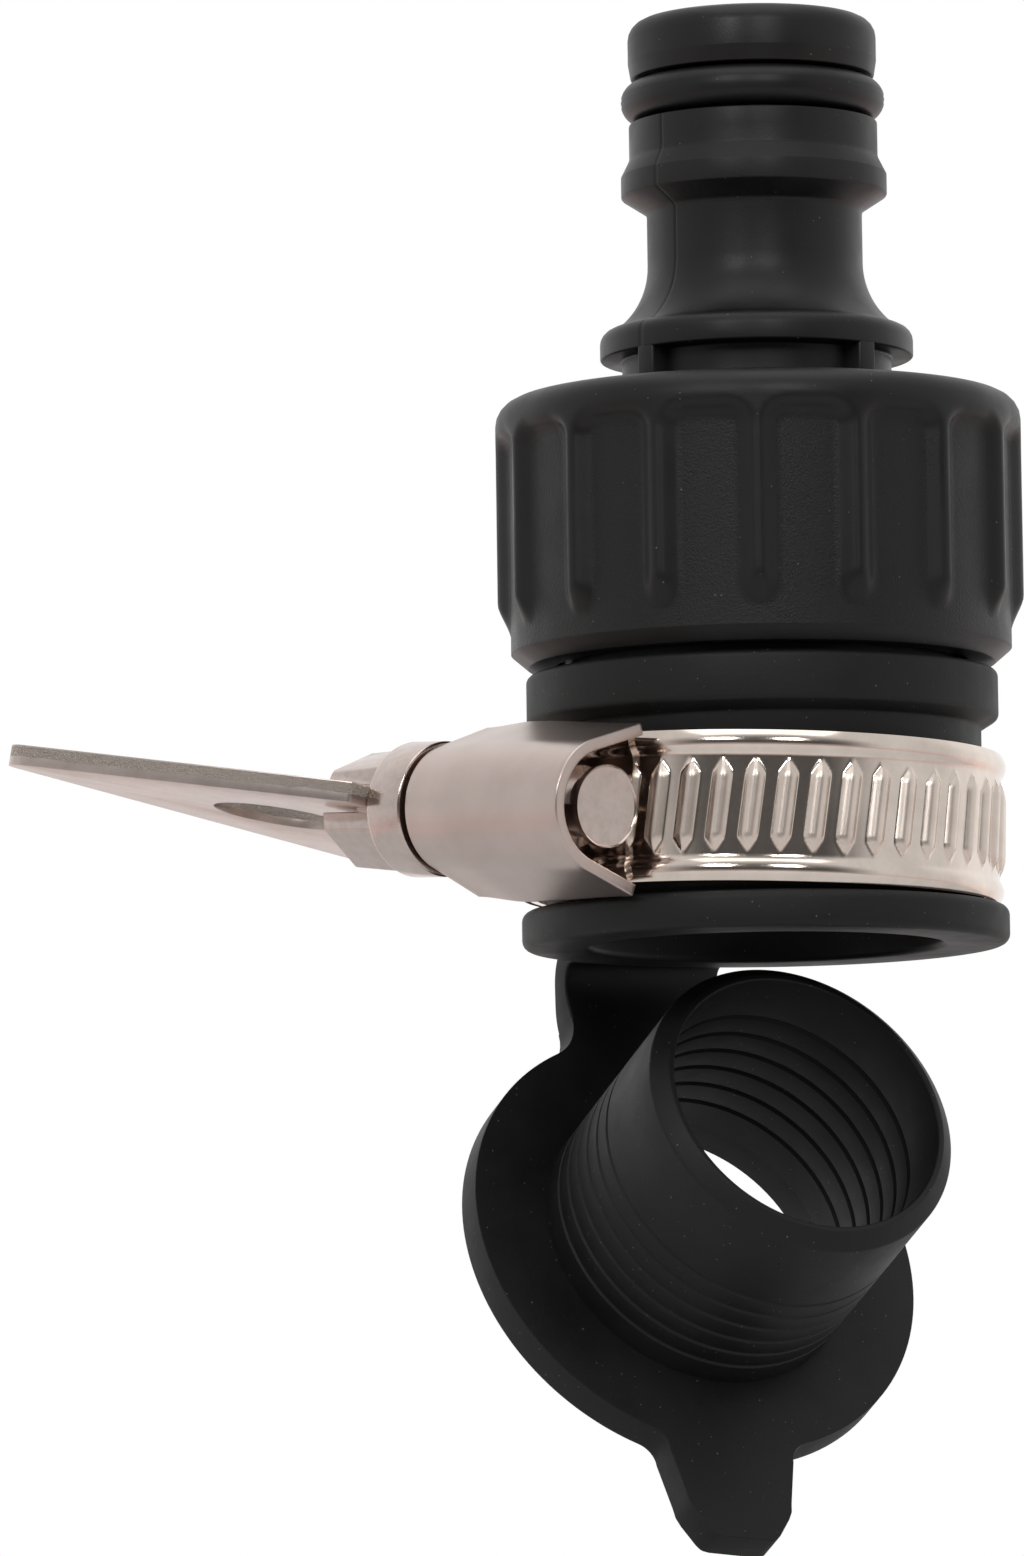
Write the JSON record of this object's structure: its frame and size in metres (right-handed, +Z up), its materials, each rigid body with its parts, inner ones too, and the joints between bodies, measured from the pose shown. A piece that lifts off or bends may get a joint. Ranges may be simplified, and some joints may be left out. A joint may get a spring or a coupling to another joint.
{
  "type": "tap adapter",
  "caption": "Clamp-on tap adapter: rubber sleeve with worm-drive band and butterfly key, hinged rubber reducer, fluted nut and hose plug.",
  "frame": {"origin": "centre of the rubber sleeve's mouth, in the plane of its end face", "axes": "+Z up the common axis towards the hose plug, -Y towards the side with the clamp screw's tip, +X to the right"},
  "size_m": [0.0649, 0.0422, 0.0983],
  "materials": {
    "moulded_plastic": "fine spark texture",
    "seal_rubber": "satin",
    "insert_plastic": "smooth",
    "sleeve_rubber": "matt",
    "band_steel": "bright rolled",
    "housing_steel": "satin",
    "screw_steel": "turned",
    "key_steel": "sheared"
  },
  "bodies": {
    "body": {"rubber_body": "sleeve_rubber", "threaded_insert": "insert_plastic", "clamp_band": "band_steel", "clamp_housing": "housing_steel"},
    "washer": {"sealing_washer": "seal_rubber"},
    "connector": {"tap_connector": "moulded_plastic", "nose_o_ring": "seal_rubber"},
    "screw": {"clamp_screw": "screw_steel", "key_plate": "key_steel"},
    "reducer": {"reducer": "sleeve_rubber"}
  },
  "joints": [
    {"name": "nut_lift", "type": "slide", "parent": "body", "child": "washer", "axis": [0, 0, 1], "range_m": [0, 0.00998]},
    {"name": "nut_turn", "type": "hinge", "parent": "washer", "child": "connector", "pos_m": [0, 0, 0.03], "axis": [0, 0, 1], "range_deg": [0, 1980]},
    {"name": "screw_turn", "type": "hinge", "parent": "body", "child": "screw", "pos_m": [-0.01329, -0.01257, 0.00791], "axis": [-0.6845, 0.7257, 0.0692], "continuous": true},
    {"name": "reducer_swing", "type": "hinge", "parent": "body", "child": "reducer", "pos_m": [-0.00927, 0.01772, -0.0008], "axis": [0.8862, 0.4633, 0], "range_deg": [-15, 88], "stiffness_Nm_per_rad": 0.01, "springref_deg": -2.29}
  ],
  "couplings": [
    {"joint": "nut_lift", "follows": "nut_turn", "m_per_rad": 0.00028871}
  ]
}
